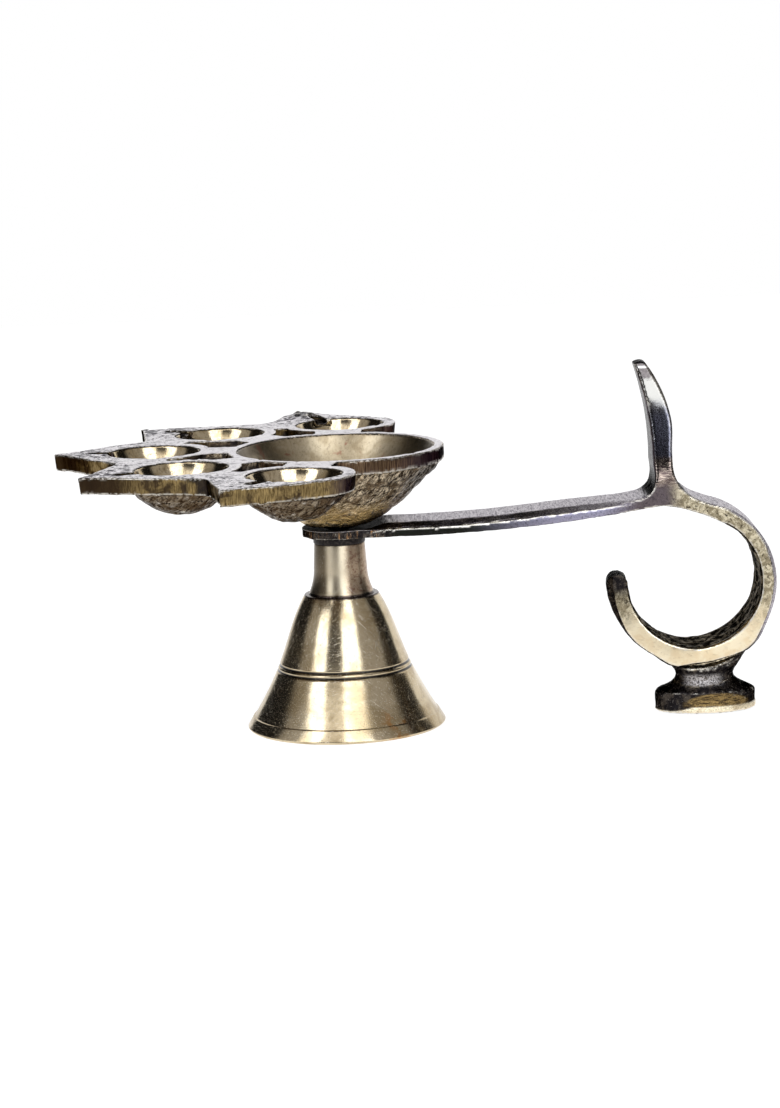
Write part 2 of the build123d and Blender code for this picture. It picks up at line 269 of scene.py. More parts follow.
def dense_copy(node, name, voxel, rounds):
    """An even, dense copy of a CAD node's mesh with its edges softened."""
    worker = add_object(name, frame["nodes"][node].data.copy())
    remesh = worker.modifiers.new("remesh", "REMESH")
    remesh.mode = "VOXEL"
    remesh.voxel_size = voxel * MM
    smooth = worker.modifiers.new("smooth", "SMOOTH")
    smooth.factor = 0.5
    smooth.iterations = rounds
    mesh = bpy.data.meshes.new_from_object(worker.evaluated_get(bpy.context.evaluated_depsgraph_get()))
    bpy.data.objects.remove(worker)
    mesh.materials.clear()
    mesh.name = name
    return mesh


# Node helpers

class Tree:
    """The node tree of a material or the world, with short calls to add nodes and join them."""

    def __init__(self, owner):
        owner.use_nodes = True
        self.owner = owner
        self.tree = owner.node_tree
        self.tree.nodes.clear()

    def add(self, kind, inputs=None, **settings):
        node = self.tree.nodes.new("ShaderNode" + kind)
        for key, value in settings.items():
            setattr(node, key, value)
        for key, value in (inputs or {}).items():
            self.put(node.inputs[key], value)
        return node

    def put(self, socket, value):
        if isinstance(value, bpy.types.NodeSocket):
            self.tree.links.new(value, socket)
        else:
            socket.default_value = value

    def calc(self, operation, a, b=0.0):
        return self.add("Math", {0: a, 1: b}, operation=operation).outputs[0]

    def times(self, product, *factors):
        for factor in factors:
            product = self.calc("MULTIPLY", product, factor)
        return product

    def span(self, value, low, high, start=0.0, end=1.0):
        """A smooth step of value from start at low to end at high."""
        values = {"Value": value, "From Min": low, "From Max": high, "To Min": start, "To Max": end}
        return self.add("MapRange", values, interpolation_type="SMOOTHSTEP").outputs[0]

    def mix(self, share, a, b):
        """A colour between two."""
        node = self.add("Mix", data_type="RGBA")
        for index, value in ((0, share), (6, a), (7, b)):
            self.put(node.inputs[index], (*value, 1.0) if isinstance(value, tuple) else value)
        return node.outputs[2]

    def coats(self, color, *coats):
        """A colour under coats, laid one by one. Each is a colour and the shares whose product covers."""
        for coat, *shares in coats:
            color = self.mix(self.times(*shares), color, coat)
        return color

    def lerp(self, share, a, b):
        """A number between two."""
        return self.add("Mix", {0: share, 2: a, 3: b}, data_type="FLOAT").outputs[0]

    def zones(self, *names):
        """The numbers stored under these names."""
        return [self.add("Attribute", attribute_name=name).outputs["Fac"] for name in names]

    def place(self):
        """The point in the piece's own frame."""
        metres = self.add("TexCoord").outputs["Object"]
        return self.add("VectorMath", {0: metres, "Scale": 1 / MM}, operation="SCALE").outputs[0]

    def axes(self):
        return self.add("SeparateXYZ", {0: self.place()}).outputs

    def noise(self, size, detail=3.0, rough=0.55, twist=0.0, stretch=(1, 1, 1), turn=(0, 0, 0)):
        """Noise from 0 to 1 with features of this size, longer along an axis by its stretch."""
        values = {"Vector": self.place(), "Rotation": turn, "Scale": tuple(size * s for s in stretch)}
        where = self.add("Mapping", values, vector_type="TEXTURE").outputs[0]
        values = {"Vector": where, "Scale": 1.0, "Detail": detail, "Roughness": rough, "Distortion": twist}
        return self.add("TexNoise", values).outputs[0]

    def line(self, value, level, width):
        """1 where value passes this level, falling to 0 within width on either side."""
        return self.span(self.calc("ABSOLUTE", self.calc("SUBTRACT", value, level)), width, 0.0)

    def scratches(self, width, length, tilt):
        """1 on thin straight scratches of this size, tilted by this angle in the front view."""
        return self.span(self.noise(width, 1, 0.5, 0.0, (1, 1, length / width), (0, tilt, 0)), 0.7, 0.76)

    def relief(self, *layers):
        """A normal for layers of relief, each a height from 0 to 1 and the depth that it stands for."""
        normal = {}
        for height, depth in layers:
            bump = self.add("Bump", {"Height": height, "Distance": depth * MM, "Strength": 1.0, **normal})
            normal = {"Normal": bump.outputs[0]}
        return normal["Normal"]

    def dull_rim(self, color):
        """Less reflection at a glancing angle where the colour is dark, as on soot and oxide."""
        level = self.add("RGBToBW", {0: color}).outputs[0]
        return self.span(level, 0.015, 0.25, 0.06, 1.0)

    def metal(self, color, rough, normal, **others):
        """Closes a material with a metal surface, and gives the material."""
        shader = self.add("BsdfPrincipled", {"Base Color": color, "Metallic": 1.0, "Roughness": rough,
                                             "Normal": normal, **others})
        self.add("OutputMaterial", {0: shader.outputs[0]})
        return self.owner

    def turned_metal(self, color, rough, normal, around):
        """A metal surface with turning marks along a tangent, which spread light across them."""
        spread = {"Anisotropic": 0.6, "Anisotropic Rotation": 0.25, "Tangent": around}
        return self.metal(color, rough, normal, **spread)

    def cast_metal(self, color, rough, normal):
        return self.metal(color, rough, normal, **{"Specular Tint": self.dull_rim(color)})


# Materials

def metal_tree(name):
    """A new material's tree, and its most used calls."""
    tree = Tree(bpy.data.materials.new(name))
    return tree, tree.span, tree.noise, tree.times, tree.mix, tree.coats, tree.lerp


PALE_BRASS = (0.66, 0.55, 0.375)
OLIVE_BRASS = (0.47, 0.365, 0.215)
DARK_BRASS = (0.13, 0.095, 0.06)
BROWN_PATINA = (0.2, 0.105, 0.07)
GOLD = (0.6, 0.42, 0.17)
NEAR_BLACK = (0.016, 0.014, 0.016)
# pale lavender of the flat tops: a painted reflection of the white backdrop
PALE_TOP = (0.8, 0.765, 0.8)
CREAM = (0.86, 0.75, 0.54)
WORN_EDGE = (0.86, 0.81, 0.72)
STEEL = (0.42, 0.42, 0.43)
DARK_STEEL = (0.2, 0.2, 0.2)
BLACKENED_BRASS = (0.02, 0.018, 0.018)
BARED_BRASS = (0.06, 0.05, 0.045)


def turned_brass():
    """Polished turned brass: fine rings from the lathe, scuffs, stains, and on the neck a painted highlight,
    painted shade and a brown patina.
    """
    tree, span, noise, times, mix, coats, lerp = metal_tree("turned_brass")
    across, _, height = tree.axes()
    cloud = span(noise(9, 3, 0.55, 0.4), 0.42, 0.66)
    speck = span(noise(0.55, 3, 0.7, 0.2, (1, 1, 1.6)), 0.6, 0.68)
    rings = noise(0.35, 3, 0.7, 0.0, (60, 60, 1))
    # a few curved scuffs and many straight scratches
    scuffed = span(noise(11, 2, 0.5), 0.52, 0.62)
    marks = times(tree.line(noise(9, 0, 0.4, 0.3), 0.5, 0.0035), scuffed, 0.8)
    for tilt, length in ((0.25, 3.5), (-0.8, 5.0), (1.25, 4.0)):
        marks = tree.calc("MAXIMUM", marks, tree.scratches(0.16, length, tilt))
    # a golden stain low on the right; on the neck a pale front strip that is a painted highlight, painted
    # shade on its left edge, and a red-brown patina on its right side
    low_right = times(span(height, 11, 5), span(across, 8, 13), span(across, 19, 16))
    stain = times(low_right, span(noise(3, 4, 0.7, 0.8), 0.46, 0.62))
    neck = span(height, 37.5, 39)
    left = span(across, -3.0, -4.8, 0.0, 0.9)
    right = times(neck, span(across, 0.5, 3))
    patina = times(right, span(noise(1.5, 4, 0.75, 0.8), 0.48, 0.6))
    seam = times(span(height, 37.0, 37.5), span(height, 38.5, 37.9))
    # painted shade in the two turned grooves
    cuts = [span(tree.line(height, cut, 1.1 * GROOVE_WIDTH), 0.2, 0.7) for cut in GROOVE_HEIGHTS]
    tint = coats(
        mix(cloud, PALE_BRASS, OLIVE_BRASS),
        (DARK_BRASS, speck, 0.5),
        ((0.52, 0.24, 0.06), stain, 0.8),
        # painted highlight: the neck is made pale, and stays pale down its front between the painted shade
        # on the left and the patina on the right
        ((0.68, 0.6, 0.46), neck, 0.6),
        ((0.12, 0.09, 0.055), neck, left),
        ((0.38, 0.265, 0.175), right, 0.8),
        (BROWN_PATINA, patina, 0.75),
        ((0.03, 0.016, 0.022), seam, 0.92),
        *[(NEAR_BLACK, cut, 0.94) for cut in cuts],
        ((0.8, 0.76, 0.68), marks, 0.45),
    )
    rough = lerp(cloud, 0.18, 0.25)
    rough = lerp(tree.calc("MAXIMUM", times(speck, 0.5), patina), rough, 0.34)
    rough = lerp(marks, rough, 0.36)
    rough = lerp(neck, rough, 0.34)
    normal = tree.relief((rings, 0.01), (noise(0.45, 3, 0.7), 0.008), (noise(8, 2, 0.5), 0.1),
                         (marks, -0.012))
    around = tree.add("Tangent", direction_type="RADIAL", axis="Z").outputs[0]
    return tree.turned_metal(tint, rough, normal, around)


def hollow_brass():
    """The turned insides of the bowl and the cups, with upright polishing marks."""
    tree, span, noise, times, mix, coats, lerp = metal_tree("hollow_brass")
    bowl, = tree.zones("bowl")
    cloud = span(noise(5, 4, 0.6, 0.8), 0.4, 0.66)
    grain = noise(0.5, 3, 0.7, 0.2, (1, 1, 7))
    speck = span(noise(0.8, 3, 0.7), 0.58, 0.68)
    aside = tree.calc("ADD", tree.calc("ABSOLUTE", tree.axes()[0]), times(cloud, 2))
    burn = span(noise(4.5, 3, 0.6, 0.6, (1, 1, 1.8)), 0.6, 0.68)
    # the bowl is duller, has painted dark reflections at its ends and a few red-brown burns
    tint = coats(
        mix(cloud, PALE_BRASS, OLIVE_BRASS),
        ((0.26, 0.19, 0.11), span(grain, 0.46, 0.74, 0.0, 0.6)),
        (DARK_BRASS, speck, 0.55),
        ((0.3, 0.25, 0.18), bowl, 0.45),
        ((0.045, 0.035, 0.026), bowl, span(aside, 18, 25, 0.0, 0.6)),
        ((0.3, 0.14, 0.09), burn, bowl, 0.7),
    )
    rough = lerp(bowl, lerp(cloud, 0.13, 0.18), lerp(cloud, 0.36, 0.43))
    normal = tree.relief((grain, 0.014), (noise(3, 2, 0.5), 0.05))
    swirl = tree.add("Attribute", attribute_name="swirl").outputs["Vector"]
    turn = {"vector_type": "VECTOR", "convert_from": "OBJECT", "convert_to": "WORLD"}
    return tree.turned_metal(tint, rough, normal, tree.add("VectorTransform", {0: swirl}, **turn).outputs[0])


def cast_cups_brass():
    """The casting's outside: filed walls, worn flat tops and rough undersides."""
    tree, span, noise, times, mix, coats, lerp = metal_tree("cast_cups_brass")
    top, filed, edge, crease = tree.zones("top", "filed", "edge", "crease")
    band, tip, shaded = tree.zones("band", "tip", "shaded")
    x, y, z = tree.axes()
    squares = tree.calc("ADD", tree.calc("POWER", x, 2.0), tree.calc("POWER", y, 2.0))
    round_bowl = tree.calc("SQRT", squares)
    # rough cast skin: brown hollows, pale lumps, black pits, painted shade on the sides that face right, and
    # a golden tone low down
    broad = noise(5, 3, 0.6, 0.6)
    crackle = noise(0.9, 4, 0.7, 0.6, (1, 1, 28 / 9), (0.5, 0.8, 0))
    fine = noise(0.62, 4, 0.75, 0.2)
    gold = times(span(z, 67, 60), span(noise(3.5, 3, 0.6, 0.6), 0.36, 0.5))
    skin = coats(
        mix(span(crackle, 0.4, 0.6), (0.05, 0.034, 0.022), (0.62, 0.51, 0.36)),
        ((0.17, 0.115, 0.065), span(broad, 0.48, 0.6, 0.0, 0.75)),
        ((0.09, 0.06, 0.036), span(round_bowl, 31, 38, 0.0, 0.72)),
        ((0.045, 0.034, 0.034), shaded, 0.75),
        ((0.02, 0.016, 0.018), span(fine, 0.55, 0.61, 0.0, 0.9)),
        (GOLD, gold, 0.8),
    )
    # upright file marks on the walls, redder on the bowl's band, with painted shade on the sides that face
    # right
    marks = noise(0.34, 3, 0.75, 0.15, (1, 1, 16))
    rust = mix(span(marks, 0.36, 0.62), (0.035, 0.018, 0.012), (0.15, 0.092, 0.055))
    wall = coats(
        mix(span(marks, 0.34, 0.66), (0.1, 0.067, 0.028), (0.33, 0.235, 0.1)),
        ((0.035, 0.022, 0.014), span(noise(5, 4, 0.65, 0.6), 0.48, 0.62, 0.0, 0.85)),
        ((0.03, 0.018, 0.01), tip, 0.96),
        (rust, band, 0.9),
        ((0.05, 0.036, 0.05), shaded, 0.8),
    )
    # flat tops: a painted reflection of the white backdrop in pale lavender, nearly white round the bowl,
    # mottled and pitted out to the tips
    outer = span(round_bowl, 44, 62)
    pits = span(noise(1.0, 4, 0.75, 0.5), 0.56, 0.62)
    stains = tree.calc("ADD", noise(2.4, 4, 0.7, 0.8), times(tip, 0.05))
    flat = coats(
        mix(span(noise(4, 3, 0.6), 0.4, 0.62), PALE_TOP, (0.86, 0.825, 0.85)),
        ((0.06, 0.048, 0.075), span(stains, 0.5, 0.58), lerp(outer, 0.15, 0.9)),
        ((0.02, 0.016, 0.03), pits, lerp(outer, 0.5, 0.95)),
    )
    worn = span(noise(1.2, 3, 0.7), 0.36, 0.56)
    # the crease coat is painted shade in the creases, the gaps and the notches
    tint = coats(skin, (wall, filed), (flat, top), (NEAR_BLACK, crease, 0.92),
                      (WORN_EDGE, edge, worn, 0.85))
    rough = lerp(filed, span(fine, 0.4, 0.65, 0.12, 0.3), span(marks, 0.3, 0.7, 0.4, 0.28))
    rough = lerp(top, rough, lerp(pits, 0.28, 0.5))
    bare = tree.calc("SUBTRACT", 1.0, tree.calc("MAXIMUM", top, filed))
    dents = noise(1.8, 2, 0.55, 0.5)
    normal = tree.relief(
        (times(marks, filed), 0.05), (times(fine, bare), 0.22), (times(dents, bare), 0.6),
        (times(crackle, bare), 0.3), (times(pits, top), -0.08),
    )
    return tree.cast_metal(tint, rough, normal)


def cast_handle_brass():
    """The handle: filed cream faces on the hook, a dull bar, and a dark rough skin elsewhere."""
    tree, span, noise, times, mix, coats, lerp = metal_tree("cast_handle_brass")
    face, bar, thumb, top, edge = tree.zones("face", "bar", "thumb", "top", "edge")
    crease, olive, groove, bevel, inside = tree.zones("crease", "olive", "groove", "bevel", "inside")
    polish, flank, eye, ridge, soot = tree.zones("polish", "flank", "eye", "ridge", "soot")
    along, _, height = tree.axes()
    fine = noise(0.6, 4, 0.75, 0.3)
    broad = noise(2.4, 4, 0.7, 0.8)
    # black cast skin with bare spots, browner inside the hook, painted glints on the waist, streaked on the
    # eye
    brown = mix(span(broad, 0.46, 0.6), (0.016, 0.013, 0.009), (0.2, 0.16, 0.1))
    streak = span(noise(0.8, 3, 0.7, 0.2, (1, 1, 9)), 0.54, 0.68)
    skin = coats(
        mix(span(broad, 0.44, 0.62), (0.014, 0.012, 0.013), (0.07, 0.058, 0.048)),
        (brown, inside),
        ((0.52, 0.47, 0.4), span(fine, 0.62, 0.68, 0.0, 0.6)),
        ((0.46, 0.43, 0.42), polish, span(fine, 0.6, 0.45)),
        ((0.34, 0.19, 0.09), eye, streak),
    )
    # the hook's filed faces: cream below, olive and mottled above
    cloud = noise(4, 3, 0.6, 0.5)
    scratch = noise(0.36, 3, 0.7, 0.2, (6, 1, 1.8))
    spots = noise(0.9, 4, 0.7, 0.5)
    holes = span(noise(1.5, 2, 0.5), 0.72, 0.76, 0.0, 0.9)
    mottled = coats(
        mix(span(broad, 0.42, 0.6), (0.26, 0.215, 0.135), (0.62, 0.54, 0.38)),
        ((0.05, 0.04, 0.025), span(spots, 0.55, 0.63, 0.0, 0.85)),
        (NEAR_BLACK, olive, tree.scratches(0.3, 2.6, -0.6)),
    )
    # the bar's sides: greenish black by the stand, lavender grey further out, mauve under the thumb rest
    side = coats(
        mix(span(along, 34, 66), (0.014, 0.015, 0.011), (0.34, 0.32, 0.42)),
        ((0.12, 0.095, 0.1), span(along, 72, 84)),
        ((0.03, 0.027, 0.034), span(fine, 0.5, 0.64, 0.0, 0.6)),
    )
    # the thumb rest's sides: a brushed mauve root, then painted light, with painted shade in the middle, a
    # painted highlight on the upper part, a dark mottled band and a thin white painted highlight line near
    # the tip
    brushed = noise(0.4, 3, 0.7, 0.3, (6, 6, 1))
    root = mix(span(brushed, 0.38, 0.62), (0.09, 0.06, 0.06), (0.4, 0.32, 0.26))
    wave = tree.calc("ADD", height, times(broad, 4))
    upright = coats(
        mix(span(wave, 76, 74), (0.16, 0.16, 0.2), root),
        ((0.34, 0.325, 0.295), span(wave, 85.5, 92)),
        (mix(spots, NEAR_BLACK, (0.24, 0.21, 0.2)), span(wave, 96.3, 97.3)),
        ((0.9, 0.88, 0.84), tree.line(height, 97.9, 0.45)),
        # painted shade on the thumb rest's left-facing side
        ((0.11, 0.095, 0.115), flank),
    )
    filed = coats(
        mix(span(cloud, 0.34, 0.66), CREAM, (0.78, 0.63, 0.41)),
        ((0.38, 0.29, 0.18), span(scratch, 0.54, 0.7, 0.0, 0.35)),
        (mottled, tree.calc("MAXIMUM", olive, holes)),
        (NEAR_BLACK, holes), (side, bar), (upright, thumb),
    )
    # the upper side has a cross grain, and the foot a brushed golden groove and a bare lower edge
    grain = noise(0.4, 3, 0.7, 0.0, (1, 8, 1))
    flat = mix(span(grain, 0.38, 0.66), (0.62, 0.58, 0.62), (0.21, 0.18, 0.23))
    gilt = mix(span(brushed, 0.42, 0.6), (0.27, 0.18, 0.07), (0.055, 0.036, 0.018))
    bared = mix(span(cloud, 0.4, 0.7), CREAM, (0.62, 0.5, 0.33))
    worn = times(edge, span(noise(1.6, 3, 0.7), 0.38, 0.54), 0.9)
    line = times(ridge, span(noise(0.9, 3, 0.7), 0.34, 0.46))
    # the crease coat is painted shade in the creases
    tint = coats(
        skin, (filed, face), (flat, top), (gilt, groove), (bared, bevel), (NEAR_BLACK, crease, 0.85),
        # the last coat is painted shadow under the bowl, painted shade at the thumb rest's root, and a
        # blackened tip
        (WORN_EDGE, tree.calc("MAXIMUM", worn, line)), ((0.018, 0.016, 0.02), soot),
    )
    rough = lerp(face, span(fine, 0.4, 0.65, 0.16, 0.36), 0.3)
    rough = lerp(inside, rough, 0.45)
    rough = lerp(thumb, rough, 0.17)
    rough = lerp(top, rough, span(grain, 0.3, 0.7, 0.26, 0.42))
    low_thumb = times(thumb, span(height, 73, 70))
    normal = tree.relief(
        (times(fine, lerp(face, 1.0, 0.05)), 0.22), (times(scratch, face), 0.03),
        (times(spots, olive, face), -0.12),
        (times(brushed, tree.calc("MAXIMUM", groove, low_thumb)), 0.02), (times(grain, top), 0.05),
    )
    return tree.cast_metal(tint, rough, normal)


def plain_metal(name, tint, other_tint, rough):
    """A dull metal with a little grain, for the hidden pieces and the washer."""
    tree = Tree(bpy.data.materials.new(name))
    grain = tree.noise(0.7, 4, 0.7)
    color = tree.mix(tree.span(grain, 0.4, 0.66), tint, other_tint)
    return tree.metal(color, tree.lerp(grain, rough, rough + 0.2), tree.relief((grain, 0.05)))


# Stand: the bell foot, the stem and the neck washer

def flare_radius(height):
    """The bell's outside radius: a cubic spline through three points with set slopes at its ends."""
    heights = (BAND_HEIGHT, BELL_MIDDLE_HEIGHT, box("bell_foot")[1].z)
    radii = (BAND_TOP_RADIUS - BAND_STEP, BELL_MIDDLE_RADIUS, BELL_CROWN_RADIUS)
    spans = (heights[1] - heights[0], heights[2] - heights[1])
    rates = [(radii[i + 1] - radii[i]) / spans[i] for i in range(2)]
    end_rate = -1 / math.tan(BELL_END_SLOPE)
    pull = 3 * (rates[0] / spans[0] + rates[1] / spans[1]) - end_rate * (1 / spans[0] + 1 / spans[1])
    slopes = (end_rate, pull / (2 * (1 / spans[0] + 1 / spans[1])), end_rate)
    part = 0 if height < heights[1] else 1
    t = (height - heights[part]) / spans[part]
    low = radii[part] * (1 + 2 * t) * (1 - t) ** 2 + spans[part] * slopes[part] * t * (1 - t) ** 2
    return low + radii[part + 1] * t * t * (3 - 2 * t) + spans[part] * slopes[part + 1] * t * t * (t - 1)


def groove_depth(height):
    """How deep the two turned lines cut in at this height."""
    nearest = min(abs(height - groove) for groove in GROOVE_HEIGHTS)
    return GROOVE_DEPTH * max(0.0, 1 - nearest / GROOVE_WIDTH)


def build_bell(material):
    _, high = box("bell_foot")
    crown, band_radius = high.z, high.x
    ceiling = crown - BELL_CROWN_THICKNESS
    outside = [(flare_radius(z) - groove_depth(z), z) for z in np.linspace(crown, BAND_HEIGHT, 170)]
    inside = [(flare_radius(z) - BELL_WALL, z) for z in np.linspace(BAND_HEIGHT, ceiling, 40)]
    profile = [
        (BORE_RADIUS, crown), *outside,
        (BAND_TOP_RADIUS, BAND_HEIGHT), (band_radius, BAND_CHAMFER), (band_radius - BAND_CHAMFER, 0.0),
        (band_radius - BELL_WALL, 0.0), *inside, (BORE_RADIUS, ceiling),
    ]
    add_turned("bell", softened(profile), "stand", "turned_brass", "bell_foot", material)


def build_stem(material):
    low, high = box("stem")
    flare_top = low.z + STEM_FLARE_HEIGHT
    spread = high.x - STEM_NECK_RADIUS
    bend = (spread**2 + STEM_FLARE_HEIGHT**2) / (2 * spread)
    flare = []
    for z in np.linspace(flare_top, low.z, 30):
        flare.append((STEM_NECK_RADIUS + bend - math.sqrt(bend**2 - (flare_top - z) ** 2), z))
    profile = [(BORE_RADIUS, low.z), (BORE_RADIUS, high.z), (STEM_TOP_RADIUS, high.z), *flare]
    add_turned("stem", softened(profile), "stand", "turned_brass", "stem", material)


def build_washer(name, node, body, slot, material):
    low, high = box(node)
    profile = [(BORE_RADIUS, low.z), (BORE_RADIUS, high.z), (high.x, high.z), (high.x, low.z)]
    add_turned(name, softened(profile), body, slot, node, material, turns=128)


# Rod and nut inside the bell

def build_rod(material):
    low, high = box("tie_rod")
    radius = high.x

    def threaded(angles, radii, heights):
        """The radius with a thread cut into the rod's lower part."""
        turn = (heights / THREAD_PITCH + angles / (2 * math.pi)) % 1.0
        depth = THREAD_DEPTH * (1 - np.abs(2 * turn - 1))
        cut = ease(heights, THREAD_START, THREAD_START - THREAD_PITCH) * ease(radii, 0.9 * radius, radius)
        return radii - depth * cut

    sides = [(radius, z) for z in np.arange(low.z + EDGE_ROUND, high.z, THREAD_PITCH / THREAD_ROWS)]
    lower_end = [(AXIS_RADIUS, low.z), (radius - EDGE_ROUND, low.z)]
    profile = [*lower_end, *sides, (radius, high.z), (AXIS_RADIUS, high.z)]
    add_turned("rod", profile, "cups", "steel", "tie_rod", material, turns=72, radius_at=threaded)


def build_nut(material):
    low, high = box("clamp_nut")
    flat = high.y

    def hexagon(angles, radii, heights):
        """The radius of a hexagon whose corners are chamfered at both faces."""
        turn = (angles + math.pi / 6) % (math.pi / 3) - math.pi / 6
        nearest = np.minimum(heights - low.z, high.z - heights)
        outer = np.minimum(flat / np.cos(turn), flat + nearest / math.tan(NUT_CHAMFER))
        return np.where(radii > flat * 0.9, outer * radii / flat, radii)

    rows = [(flat, z) for z in np.linspace(low.z, high.z, 24)]
    inner = box("tie_rod")[1].x + NUT_PLAY
    profile = [(inner, low.z), *rows, (inner, high.z)]
    add_turned("nut", profile, "clamp_nut", "steel", "clamp_nut", material, turns=144, radius_at=hexagon)


# Cup casting

def cup_places():
    """The middle of each wick cup, from the openings in the record, with the point of its tip."""
    places = []
    for i, name in enumerate(sorted(name for name in openings if name.startswith("cup_"))):
        x, y, _ = openings[name].mean(axis=0)
        turn = FAN_TURN + (i - 2) * TIP_STEP
        places.append((x, y, TIP_RADIUS * np.array([math.cos(turn), math.sin(turn)])))
    return places


def build_cups(outside_material, hollow_material):
    mesh = dense_copy("cup_casting", "cups", CASTING_VOXEL, CASTING_SMOOTHING)
    points, normals = points_of(mesh), normals_of(mesh)
    rim = box("cup_casting")[1].z
    below = rim - points[:, 2]
    places = cup_places()
    hollows = [(0.0, 0.0, None, BOWL_OPENING, BOWL_DEPTH)]
    hollows += [(x, y, tip, CUP_OPENING, CUP_DEPTH) for x, y, tip in places]
    turned = np.zeros(len(points))
    swirl = np.zeros_like(points)
    for x, y, tip, opening, depth in hollows:
        # the hollow is pulled onto its true sphere, apart from the mouth of the wick channel
        ball = (opening**2 + depth**2) / (2 * depth)
        away = points - (x, y, rim - depth + ball)
        distance = np.linalg.norm(away, axis=1)
        near = (np.abs(distance - ball) < 0.8) & (np.hypot(away[:, 0], away[:, 1]) < opening + 0.1)
        share = near * ease(below, 0.1, 0.6) * ease(np.sum(away * normals, axis=1), 0, -0.3 * ball)
        if tip is None:
            bowl = share
        else:
            course = tip - (x, y)
            course /= np.linalg.norm(course)
            aside = np.abs(away[:, 0] * course[1] - away[:, 1] * course[0])
            mouth = ease(aside, 1.5 * CHANNEL_HALF, CHANNEL_HALF) * (away[:, :2] @ course > 0.5 * opening)
            share *= 1 - mouth * ease(below, 2 * CHANNEL_DEPTH, CHANNEL_DEPTH)
        points += away * (share * (ball / distance - 1))[:, None]
        turned = np.maximum(turned, share)
        swirl[share > 0.01] = np.stack([-away[:, 1], away[:, 0], 0 * distance], axis=1)[share > 0.01]
    solid = 1 - turned

    # the walls lean in towards their lower edge
    round_bowl = np.hypot(points[:, 0], points[:, 1])
    band = ease(round_bowl, 31.2, 30.6) * ease(round_bowl, 27, 29)
    outer = ease(below, PLATE_THICKNESS + 0.8, PLATE_THICKNESS) * solid * (1 - band)
    points[:, :2] -= normals[:, :2] * (outer * WALL_LEAN * np.clip(below, 0, PLATE_THICKNESS))[:, None]

    # they reach a little lower, to make up for what the cast lumps take off underneath
    reach = ease(below, 0.8, PLATE_THICKNESS - 0.4) * ease(below, 10, PLATE_THICKNESS + 1)
    points[:, 2] -= WALL_REACH * reach * solid

    # flat tops, filed walls and cast skin have lumps of their own
    upright = np.abs(normals[:, 2])
    top = ease(normals[:, 2], 0.7, 0.93) * ease(below, 1.6, 0.7) * solid
    in_gap = ease(round_bowl, 44, 41) * (1 - band)
    filed = ease(upright, 0.6, 0.3) * ease(below, PLATE_THICKNESS + 0.2, PLATE_THICKNESS - 0.5)
    filed *= solid * (1 - top) * (1 - in_gap)
    skin = np.clip(solid - top - filed, 0, 1)
    sink = skin * (0.55 * lumps(points, 3.6, 1) + 0.36 * lumps(points, 1.5, 2))
    sink += filed * (0.12 * lumps(points, (0.8, 0.8, 9), 3) + 0.25 * lumps(points, 5, 6))
    sink += top * (0.3 * ease(lumps(points, 2.2, 4), 0.6, 0.95) + 0.1 * lumps(points, 1.2, 5))
    points -= normals * sink[:, None]

    # the rims rise and fall a little, and a lump of spilt metal sits on the farthest tip
    points[:, 2] -= 0.4 * lumps(points, 8, 7) * np.maximum(top, 0.6 * filed)
    spill = points[:, :2] - 0.88 * places[0][2]
    lump = np.exp(-np.sum(spill**2, axis=1) / 4.6**2) * top
    points[:, 2] += 1.5 * lump * (0.4 + 1.2 * lumps(points, 2.2, 8))
    move_points(mesh, points)

    # zones for the materials: painted shade in the creases, the gaps and the notches, a darkened spilt lump,
    # and darker tips
    relief = stand_out(mesh, 6)
    hidden = in_gap * ease(below, 0.8, 1.6) * ease(upright, 0.7, 0.4)
    crease = np.maximum(ease(-relief, 0.05, 0.2), 0.8 * hidden) * solid
    for i in range(4):
        turn = FAN_TURN + (i - 1.5) * CUP_STEP
        notch = NOTCH_RADIUS * np.array([math.cos(turn), math.sin(turn)])
        corner = ease(np.hypot(*(points[:, :2] - notch).T), 8, 3.5) * (1 - top) * solid
        crease = np.maximum(crease, 0.95 * corner * ease(lumps(points, 2.5, 9), 0.15, 0.4))
    tips = [np.hypot(*(points[:, :2] - tip).T) for _, _, tip in places[1:4]]
    give(mesh, edge=ease(relief, 0.06, 0.2) * solid, crease=np.maximum(crease, 0.8 * ease(lump, 0.2, 0.7)),
         bowl=bowl, top=top, filed=filed, band=band * filed, swirl=MM * swirl,
         # the last zone is painted shade on the sides that face right
         tip=ease(np.min(tips, axis=0), 22, 9), shaded=ease(normals[:, 0], 0.45, 0.85))
    corners, starts = read(mesh.loops, "vertex_index"), read(mesh.polygons, "loop_start")
    inside = np.minimum.reduceat(turned[corners], starts) > 0.5
    mesh.polygons.foreach_set("material_index", inside.astype(np.int32))
    add_piece("cups", mesh, "cups", "cast_brass", "cup_casting", outside_material, hollow_material)


# Handle

def bevel_push(first, second, first_cut, second_cut, soft=0.12):
    """How far to move in from two faces, given the depths below them, so as to cut their edge."""
    over = 1 - first / first_cut - second / second_cut
    over = np.where(over > soft, over, np.maximum(over + soft, 0) ** 2 / (4 * soft))
    size = over / (1 / first_cut**2 + 1 / second_cut**2)
    return size / first_cut, size / second_cut


def bent(start, radius, run):
    """How far an arc that starts straight has bent aside after this run."""
    run = np.clip(run - start, 0, 0.95 * radius)
    return radius - np.sqrt(radius**2 - run**2)


